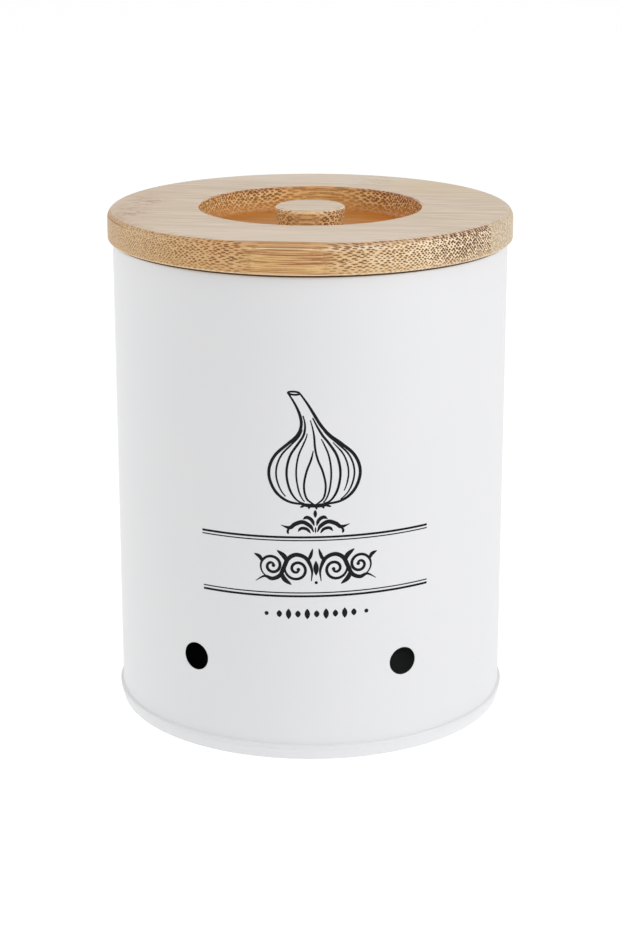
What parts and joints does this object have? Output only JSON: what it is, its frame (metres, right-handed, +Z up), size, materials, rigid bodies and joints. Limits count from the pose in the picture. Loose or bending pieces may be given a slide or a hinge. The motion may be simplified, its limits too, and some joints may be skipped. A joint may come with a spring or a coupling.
{
  "type": "garlic keeper canister",
  "caption": "Round white tin canister with vent holes round its foot and a bamboo plug lid whose knob stands in a routed finger recess.",
  "frame": {"origin": "centre of the base, on the surface the canister stands on", "axes": "+Z up along the canister's axis, printed front faces -Y, +X to the right seen from the front"},
  "size_m": [0.13, 0.13, 0.165],
  "materials": {
    "white_lacquer": "satin white lacquer on tinplate",
    "bamboo": "sanded and oiled laminated bamboo",
    "silicone": "matte translucent silicone"
  },
  "bodies": {
    "tin": {"body_shell": "white_lacquer", "base_end": "white_lacquer"},
    "lid": {"lid_board": "bamboo", "seal_ring": "silicone"}
  },
  "joints": [
    {"name": "lid_lift", "type": "slide", "parent": "tin", "child": "lid", "axis": [0, 0, 1], "range_m": [0, 0.1]}
  ]
}
